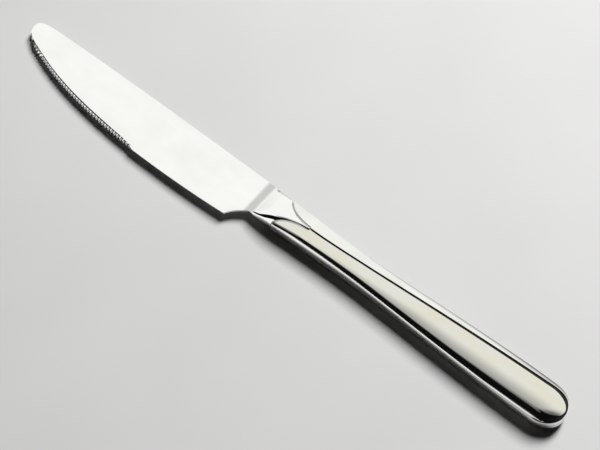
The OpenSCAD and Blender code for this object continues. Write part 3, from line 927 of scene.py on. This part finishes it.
def bolster_profile(x, side):
    """Upper quarter of the bolster's section, from the mid-plane to the axis."""
    share = (x - BLADE_LEN) / BOLSTER_LEN
    w = SPINE_RISE * curve(share, BOLSTER_SPINE_SHARES)
    if side < 0:
        w = EDGE_DROP * curve(share, BOLSTER_EDGE_SHARES)
    up = curve(share, RISE_SHARES)
    level = half_h(SHOULDER_X)
    rim = level - PANEL_CAMBER
    top_w = w - 2 * RIM_R
    if side < 0:
        top_w = min(tongue_w(x), top_w) - tongue_y(x)
    wall = (w, NECK_SIDE_H / 2)
    foot = (w - RIM_R, between(wall[1], rim, SHOULDER_SHARE))
    if side < 0:
        run = (rim - VALLEY_Z) / math.tan(FLANK_ANGLE)
        foot = (min(top_w + run, between(w - RIM_R, top_w, VALLEY_SHARE)), VALLEY_Z)
    section = [Vector((w, 0))]
    section += rounded(wall, (w, 0), foot, RIM_R, RIM_STEPS)
    section += rounded(foot, wall, (top_w, rim), GROOVE_R)
    section += rounded((top_w, rim), foot, (0, level), PANEL_EDGE_R)
    crowned(section, top_w, level)
    return [(x, side * y, between(face_z(x, side * y), z, up) if z else 0) for y, z in section]


print("bolster's profile:", len(bolster_profile(SHOULDER_X, 1)), "points")

# %% [markdown]
# The tongue is the bolster's end, lying over the handle's mouth. It stands on the spigot, the part
# of the forging that fills the mouth, and its foot is sunk a little below the ledge, where the
# braze lies. It has the same crowned top, so that bolster and handle read as one sweep, broken only
# by the fine joint.

# %% Profile of the tongue
SPIGOT_W = 4.6
SPIGOT_GAP = 0.2
JOINT_RECESS = 0.3
TONGUE_SPREAD = 0.5
TOP_SETBACK = 0.4
FLANK_SHARE = 0.15
FLANK_LIFT = 0.02


def tongue_profile(x, side):
    """Upper quarter of the tongue's section over the spigot."""
    foot = between(foot_w(x), joint_out(x), TONGUE_SPREAD)
    core = min(foot, SPIGOT_W - SPIGOT_GAP)
    low = ledge_z(x, foot) - JOINT_RECESS
    level = half_h(x)
    rim = level - PANEL_CAMBER
    top_w = foot - min(TOP_SETBACK, foot / 2)
    if side < 0:
        top_w = min(tongue_w(x), top_w)
    flank = min(top_w + (rim - low) / math.tan(FLANK_ANGLE), between(foot, top_w, FLANK_SHARE))
    section = [Vector((core, 0)), Vector((core, LIP_Z)), Vector((foot, LIP_Z)), Vector((foot, low))]
    section += rounded((flank, low + FLANK_LIFT), (foot, low), (top_w, rim), GROOVE_R)
    section += rounded((top_w, rim), (flank, low), (0, level), PANEL_EDGE_R)
    crowned(section, top_w, level)
    return [(x, tongue_y(x) + side * y, z) for y, z in section]


print("tongue's profile:", len(tongue_profile(SHOULDER_X, 1)), "points")

# %% [markdown]
# A loft needs closed rings. A profile is a quarter of one: the right and the left quarter make the
# upper half, and the lower half is its mirror image, as the knife looks alike from both faces. The
# grid of rings is closed at both ends, and the faces of the valley take the groove's painted dark shade.

# %% Loft helper
LOFT_MERGE = 0.0002


def ring(profile, x):
    """Closed section: right and left quarters above, and their mirror image below."""
    right, left = profile(x, 1), profile(x, -1)
    upper = right + left[-2::-1]
    return upper + [(a, b, -c) for a, b, c in upper[-2:0:-1]] + [upper[0]]


def loft(name, profile, start, end, rows, dark_from, dark_columns):
    """A closed body through rings. The given columns behind dark_from get the groove's painted dark
    shade.
    """
    stations = [between(start, end, k / rows) for k in range(rows + 1)]
    rings = [ring(profile, x) for x in stations]
    piece = add_grid(name, rings)
    piece.data.materials.append(blade_steel)
    piece.data.materials.append(painted_groove_dark)
    count = len(rings[0])
    for face in piece.data.polygons:
        column = min(v % count for v in face.vertices)
        if stations[min(v // count for v in face.vertices)] > dark_from and column in dark_columns:
            face.material_index = 1
    return merged(piece, LOFT_MERGE, rims=2)


print("bolster's ring:", len(ring(bolster_profile, SHOULDER_X)), "points")

# %% Bolster and tongue
BOLSTER_ROWS = 64
TONGUE_ROWS = 40
SWEEP_SHARE = 0.28
VALLEY_FROM = 113
TONGUE_OVERLAP = 0.01
# The ring's columns are counted back over the points that lie outside the valley
bolster_foot = 2 * len(bolster_profile(SHOULDER_X, -1)) - 2 - (1 + RIM_STEPS + 1 + ROUND_STEPS)
bolster = loft(
    "bolster", bolster_profile, BLADE_LEN - SWEEP_SHARE * BOLSTER_LEN, SHOULDER_X, BOLSTER_ROWS,
    VALLEY_FROM, range(bolster_foot - ROUND_STEPS, bolster_foot + 1),
)
tongue_foot = 2 * len(tongue_profile(SHOULDER_X, -1)) - 2 - (4 + ROUND_STEPS)
tongue = loft(
    "tongue", tongue_profile, SHOULDER_X - TONGUE_OVERLAP, TONGUE_X, TONGUE_ROWS,
    VALLEY_FROM, range(tongue_foot - ROUND_STEPS, tongue_foot + 2),
)
print("bolster:", len(bolster.data.vertices), "vertices, tongue:", len(tongue.data.vertices))

# %% [markdown]
# All pieces so far lie in the knife's own millimetres, with the tip at 0 and the mid-plane level.
# The real knife rests on the lower faces of its handle, which taper, so it lies tilted by a fraction
# of a degree. One matrix turns, moves and scales a mesh into that place. It is applied to the mesh
# and not to the object, so that the object stays at the origin, as every piece of the frame does.

# %% Place on the table
REST_TILT = math.atan((BUTT_H - NECK_H) / 2 / (BUTT_X - TONGUE_X))
LAYING = Matrix.Scale(MM, 4) @ Matrix.Translation((
    -OVERALL_LEN / 2 * math.cos(REST_TILT),
    (EDGE_DROP - SPINE_RISE) / 2,
    NECK_H / 2 * math.cos(REST_TILT) - TONGUE_X * math.sin(REST_TILT),
)) @ Matrix.Rotation(-REST_TILT, 4, "Y")


def laid(piece, mirror=False):
    """Turns a piece from its own millimetres to the knife's resting place, in metres."""
    flip = Matrix.Diagonal((1, 1, -1, 1)) if mirror else Matrix.Identity(4)
    piece.data.transform(LAYING @ flip)
    if mirror:
        piece.data.flip_normals()
    piece.data.update()
    return piece


print("the knife rests tilted by", round(math.degrees(REST_TILT), 2), "degrees")

# %% [markdown]
# The lower half-shell is the mirror image of the upper one. On the real knife that takes a die of
# its own, because the panel isn't the same on both sides. Here the upper half is copied with a mesh
# of its own and mirrored. Mirroring turns a mesh inside out, so its faces are flipped back.

# %% Lower half-shell
handle_back = handle_front.copy()
handle_back.data = handle_front.data.copy()
handle_back.name = handle_back.data.name = "handle_back"
bpy.context.scene.collection.objects.link(handle_back)
laid(handle_back, mirror=True)
laid(handle_front)
print("both half-shells:", 2 * len(handle_front.data.vertices), "vertices")

# %% [markdown]
# Polished faces must look smooth, yet their sharp edges must stay sharp. Smooth shading by angle
# does that. Next to a small rounding a large flat face would still look dented, because the shading
# leans over from the rounding. The Weighted Normal modifier lets the large face decide. Each piece
# then rides on the knife's one body and stands for the node of the frame that it replaces.

# %% Finish of the half-shells
SHELL_SHARP = 40


def finished(piece, angle, node):
    """Smooth shading that keeps flats flat, the body it rides on and the node it stands for."""
    bpy.ops.object.select_all(action="DESELECT")
    bpy.context.view_layer.objects.active = piece
    piece.select_set(True)
    bpy.ops.object.shade_smooth_by_angle(angle=math.radians(angle))
    weighted = piece.modifiers.new("flats", "WEIGHTED_NORMAL")
    weighted.keep_sharp = True
    bpy.ops.object.modifier_apply(modifier="flats")
    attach(piece, "root")
    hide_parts(node)
    print(piece.name, "stands for", node, "with", len(piece.data.polygons), "faces")


finished(handle_front, SHELL_SHARP, "front_shell")
finished(handle_back, SHELL_SHARP, "back_shell")

# %% [markdown]
# The blade's plate, with its curved belly and its serrated bevel, is already exact in the frame, and
# so is the tang. They are kept: the node is copied twice, its loose triangles are merged, and each
# copy is cut square to the axis, so that the finer bolster and tongue can take the middle's place.
# Inside the bolster the plate stays flat and a little narrow, and the spigot stays a hair below the
# tongue, so that nothing shows through and no two faces share a plane.

# %% Copies of the forging
COPY_MERGE = 0.001


def own_copy(node, name):
    """A copy of a CAD node in its own millimetres, with its loose triangles merged."""
    bpy.ops.object.select_all(action="DESELECT")
    piece = nodes[node].copy()
    piece.data = nodes[node].data.copy()
    piece.name = piece.data.name = name
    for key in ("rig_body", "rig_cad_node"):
        if key in piece:
            del piece[key]
    piece.parent = None
    bpy.context.scene.collection.objects.link(piece)
    piece.data.transform(LAYING.inverted())
    bpy.context.view_layer.objects.active = piece
    piece.select_set(True)
    bpy.ops.object.mode_set(mode="EDIT")
    bpy.ops.mesh.select_all(action="SELECT")
    bpy.ops.mesh.remove_doubles(threshold=COPY_MERGE)
    bpy.ops.mesh.customdata_custom_splitnormals_clear()
    bpy.ops.object.mode_set(mode="OBJECT")
    return piece


def cut_off(piece, x, keep_front):
    """Cuts a piece square to its axis and closes the cut."""
    bpy.ops.object.mode_set(mode="EDIT")
    bpy.ops.mesh.select_all(action="SELECT")
    bpy.ops.mesh.bisect(
        plane_co=(x, 0, 0), plane_no=(1, 0, 0), use_fill=True,
        clear_outer=keep_front, clear_inner=not keep_front,
    )
    bpy.ops.object.mode_set(mode="OBJECT")


print("forging in the frame:", len(nodes["blade"].data.vertices), "loose vertices")

# %% Plate and tail
CUT_X = 112
TAIL_X = 121.2
FACE_FROM = BLADE_LEN - 2
NARROW_FROM = BLADE_LEN + 0.8
NARROW_SHARE = 0.98
plate = own_copy("blade", "knife_blade")
cut_off(plate, CUT_X, True)
for vertex in plate.data.vertices:
    x, y, z = vertex.co
    if x > FACE_FROM:
        vertex.co.z = math.copysign(min(abs(z), face_z(x, y)), z)
    if x > NARROW_FROM:
        vertex.co.y = y * NARROW_SHARE
tail = own_copy("blade", "tail")
cut_off(tail, TAIL_X, False)
for vertex in tail.data.vertices:
    z = vertex.co.z
    vertex.co.z = math.copysign(min(abs(z), LIP_Z - LIP_GAP), z)
print("plate:", len(plate.data.vertices), "vertices, tail:", len(tail.data.vertices))

# %% [markdown]
# The serrations are ground into one face only, and the stone leaves them grey beside the mirror of
# the blade. The ground faces are found as a person would find them: near the edge, in the front
# part of the blade, and tilted a little from its face. How deep each point lies below the face
# becomes its share, and from that the material paints a dark line of shade where the bevel starts.

# %% Ground bevel
BEVEL_TO = 68
BEVEL_LEAST = 0.05
BEVEL_MOST = math.cos(math.radians(3))
BEVEL_LOWEST = -0.2
# How deep each point lies below the face: the mask of the bevel's painted dark line of shade
share = plate.data.attributes.new("bevel_painted_shade", "FLOAT", "POINT")
for vertex in plate.data.vertices:
    x, y, z = vertex.co
    share.data[vertex.index].value = max(0, face_z(x, y) - z) / face_z(x, y)
plate.data.materials.clear()
plate.data.materials.append(blade_steel)
plate.data.materials.append(bevel_steel)
for face in plate.data.polygons:
    low = min(plate.data.vertices[v].co.z for v in face.vertices)
    tilted = BEVEL_LEAST < face.normal.z < BEVEL_MOST
    if face.center.x < BEVEL_TO and face.center.y < 0 and tilted and low > BEVEL_LOWEST:
        face.material_index = 1
print("bevel faces:", sum(face.material_index for face in plate.data.polygons))

# %% [markdown]
# Blade, bolster, tongue and tang are one forging, so they are joined to one piece. The plate is the
# active one among them, because the joined piece keeps the active one's name.

# %% Blade
BLADE_SHARP = 30
bpy.ops.object.select_all(action="DESELECT")
for piece in (bolster, tongue, tail, plate):
    piece.select_set(True)
bpy.context.view_layer.objects.active = plate
bpy.ops.object.join()
blade = laid(plate)
finished(blade, BLADE_SHARP, "blade")

# %% [markdown]
# Three pieces keep the shape that the frame gives them: the braze round the tongue, the seam between
# the half-shells and the filler round the tang. Only a hair of the braze shows and the filler not at
# all, but each still gets its own finish, in case the knife is taken apart or cut open.

# %% Finishes of the frame's own pieces
for node, material in (
    ("mouth_braze", joint_metal), ("seam_braze", joint_metal), ("tang_filler", cement),
):
    nodes[node].data.materials.clear()
    nodes[node].data.materials.append(material)
    print(node, "is", material.name)

# %% [markdown]
# The knife lies on a plain pale table. A plane is enough, as long as it reaches further than any
# view. It has no shine and no relief, so that it shows the knife's shadow and nothing else, and a
# drift of tint over 60 mm keeps it from looking like an empty picture.

# %% Floor
FLOOR_SIDE = 4.0
FLOOR_CELL = (60, 60)
MATT = {"Specular IOR Level": 0}


def add_floor():
    """A plain pale table top under the knife, which catches its shadow."""
    bpy.ops.object.select_all(action="DESELECT")
    bpy.ops.mesh.primitive_plane_add(size=FLOOR_SIDE)
    floor = bpy.context.object
    floor.name = "floor"
    material = grained_material(
        "pale_matt_table", ("dcdcdb", "d8d8d7"), rough=(0.65, 0.75), relief_mm=0,
        cells=3 * (FLOOR_CELL,), settings=MATT,
    )
    floor.data.materials.append(material)
    return floor


floor = add_floor()
print("floor:", [round(v, 1) for v in floor.dimensions[:2]], "m, finish", floor.data.materials[0].name)

# %% [markdown]
# Steel shows what stands around it, so the studio is made for its reflections. A photographer hangs
# a large white card over the knife, tilted a little, and the lens looks past its edge. What stays
# dark, round the lens and low over the table, gives the black lines along the flanks. Cards could be
# modelled as lit planes, but the world can hold the same picture of a room with nothing in the way
# of the light. Each soft round patch is a direction with a fade at its edge.

# %% Patches of the sky
CARD = ((-0.18, 0.32, 0.93), 0.30, 0.62)
LENS_SIDE = ((0.46, -0.30, 0.835), 0.74, 0.88)
OVERHEAD = ((0, 0, 1), 0.18, 0.5)
ROOM = ((0.05, 0.62, 0.78), 0.6, 0.98)


def patch(tree, ray, direction, dark_below, white_above):
    """1 where the ray is near a direction, 0 beyond its reach, soft between the two."""
    near = add_node(
        tree, "ShaderNodeVectorMath", {"operation": "DOT_PRODUCT", 1: Vector(direction).normalized()},
        {0: ray},
    )
    fade = add_node(tree, "ShaderNodeMapRange", {
        "interpolation_type": "SMOOTHSTEP", "From Min": dark_below, "From Max": white_above,
    }, {"Value": near.outputs["Value"]})
    return fade.outputs["Result"]


print("the card reaches", round(math.degrees(math.acos(CARD[1]))), "degrees from its middle")

# %% [markdown]
# What the steel mirrors is the card, less the lens's dark side. A weak fill overhead keeps the knife
# grey and not black when it is seen from behind, away from the card.

# %% What the steel mirrors
CARD_LEVEL = 1.07
FILL_SHARE = 0.28
DARK_LEVEL = 0.004


def mirrored_sky(tree, ray):
    """Overhead white card, dark towards the horizon and behind the camera."""
    lens = patch(tree, ray, *LENS_SIDE)
    hole = add_node(tree, "ShaderNodeMath", {"operation": "SUBTRACT", 0: 1}, {1: lens})
    overhead = patch(tree, ray, *OVERHEAD)
    fill = add_node(tree, "ShaderNodeMath", {"operation": "MULTIPLY", 1: FILL_SHARE}, {0: overhead})
    lit = add_node(tree, "ShaderNodeMath", {"operation": "MAXIMUM"}, {
        0: patch(tree, ray, *CARD), 1: fill.outputs["Value"],
    })
    seen = add_node(tree, "ShaderNodeMath", {"operation": "MULTIPLY"}, {
        0: lit.outputs["Value"], 1: hole.outputs["Value"],
    })
    level = add_node(tree, "ShaderNodeMath", {
        "operation": "MULTIPLY_ADD", 1: CARD_LEVEL, 2: DARK_LEVEL,
    }, {0: seen.outputs["Value"]})
    sky = add_node(tree, "ShaderNodeBackground", {"Color": linear("fffffd")}, {
        "Strength": level.outputs["Value"],
    })
    return sky.outputs["Background"]


print("card level:", CARD_LEVEL, "and fill level:", round(CARD_LEVEL * FILL_SHARE, 2))

# %% [markdown]
# The light that the room gives to dull surfaces is much weaker, or the shadow would turn grey. And
# the camera itself sees a plain pale backdrop. The Light Path node tells the three kinds of rays
# apart. A ray that comes to the steel from a dull surface counts as room light too, so that the
# steel throws no bright spots on the table.

# %% Studio sky
ROOM_LEVEL = 0.03
ROOM_LEAST = 0.002
# Diffuse Depth counts whole bounces, so anything under a half means none so far
NO_BOUNCE = 0.5


def room_light(tree, ray):
    """The weak light of the room, a little stronger from the key light's side."""
    level = add_node(tree, "ShaderNodeMath", {
        "operation": "MULTIPLY_ADD", 1: ROOM_LEVEL, 2: ROOM_LEAST,
    }, {0: patch(tree, ray, *ROOM)})
    room = add_node(tree, "ShaderNodeBackground", {"Color": linear("ffffff")}, {
        "Strength": level.outputs["Value"],
    })
    return room.outputs["Background"]


def add_studio_sky():
    """The world: mirrored card, room light and backdrop, each for its own kind of ray."""
    world = bpy.data.worlds.new("studio")
    bpy.context.scene.world = world
    world.use_nodes = True
    tree = world.node_tree
    tree.nodes.clear()
    ray = add_node(tree, "ShaderNodeTexCoord").outputs["Generated"]
    path = add_node(tree, "ShaderNodeLightPath")
    direct = add_node(tree, "ShaderNodeMath", {"operation": "LESS_THAN", 1: NO_BOUNCE}, {
        0: path.outputs["Diffuse Depth"],
    })
    mirror = add_node(tree, "ShaderNodeMath", {"operation": "MULTIPLY"}, {
        0: path.outputs["Is Glossy Ray"], 1: direct.outputs["Value"],
    })
    steel_ray = add_node(tree, "ShaderNodeMixShader", links={
        0: mirror.outputs["Value"], 1: room_light(tree, ray), 2: mirrored_sky(tree, ray),
    })
    backdrop = add_node(tree, "ShaderNodeBackground", {"Color": linear("e2e2e2"), "Strength": 1.0})
    camera_ray = add_node(tree, "ShaderNodeMixShader", links={
        0: path.outputs["Is Camera Ray"], 1: steel_ray.outputs["Shader"],
        2: backdrop.outputs["Background"],
    })
    add_node(tree, "ShaderNodeOutputWorld", links={"Surface": camera_ray.outputs["Shader"]})
    return world


world = add_studio_sky()
print("sky:", len(world.node_tree.nodes), "nodes")

# %% [markdown]
# One lamp lights the table and draws the shadow. It hangs on the far side, high up, and is much
# taller than it is wide: that gives the shadow a soft outer edge and leaves it dark close to the
# knife. The steel doesn't mirror the lamp, because the sky already holds its card.

# %% Key light
KEY_PLACE = (0.05, 0.52, 0.86)
KEY_WIDTH = 0.26
KEY_HEIGHT = 0.54
KEY_POWER = 12.1


def add_softbox(name, place, target, width, height, power):
    """A rectangular lamp that looks at its target."""
    data = bpy.data.lights.new(name, "AREA")
    data.shape = "RECTANGLE"
    data.size = width
    data.size_y = height
    data.energy = power
    light = bpy.data.objects.new(name, data)
    light.visible_glossy = False
    aim = (Vector(target) - Vector(place)).to_track_quat("-Z", "Y")
    light.matrix_world = Matrix.Translation(Vector(place)) @ aim.to_matrix().to_4x4()
    bpy.context.scene.collection.objects.link(light)
    return light


key = add_softbox("key", KEY_PLACE, (0, 0, 0), KEY_WIDTH, KEY_HEIGHT, KEY_POWER)
print("key light:", key.data.energy, "W from", round(Vector(KEY_PLACE).length, 2), "m")
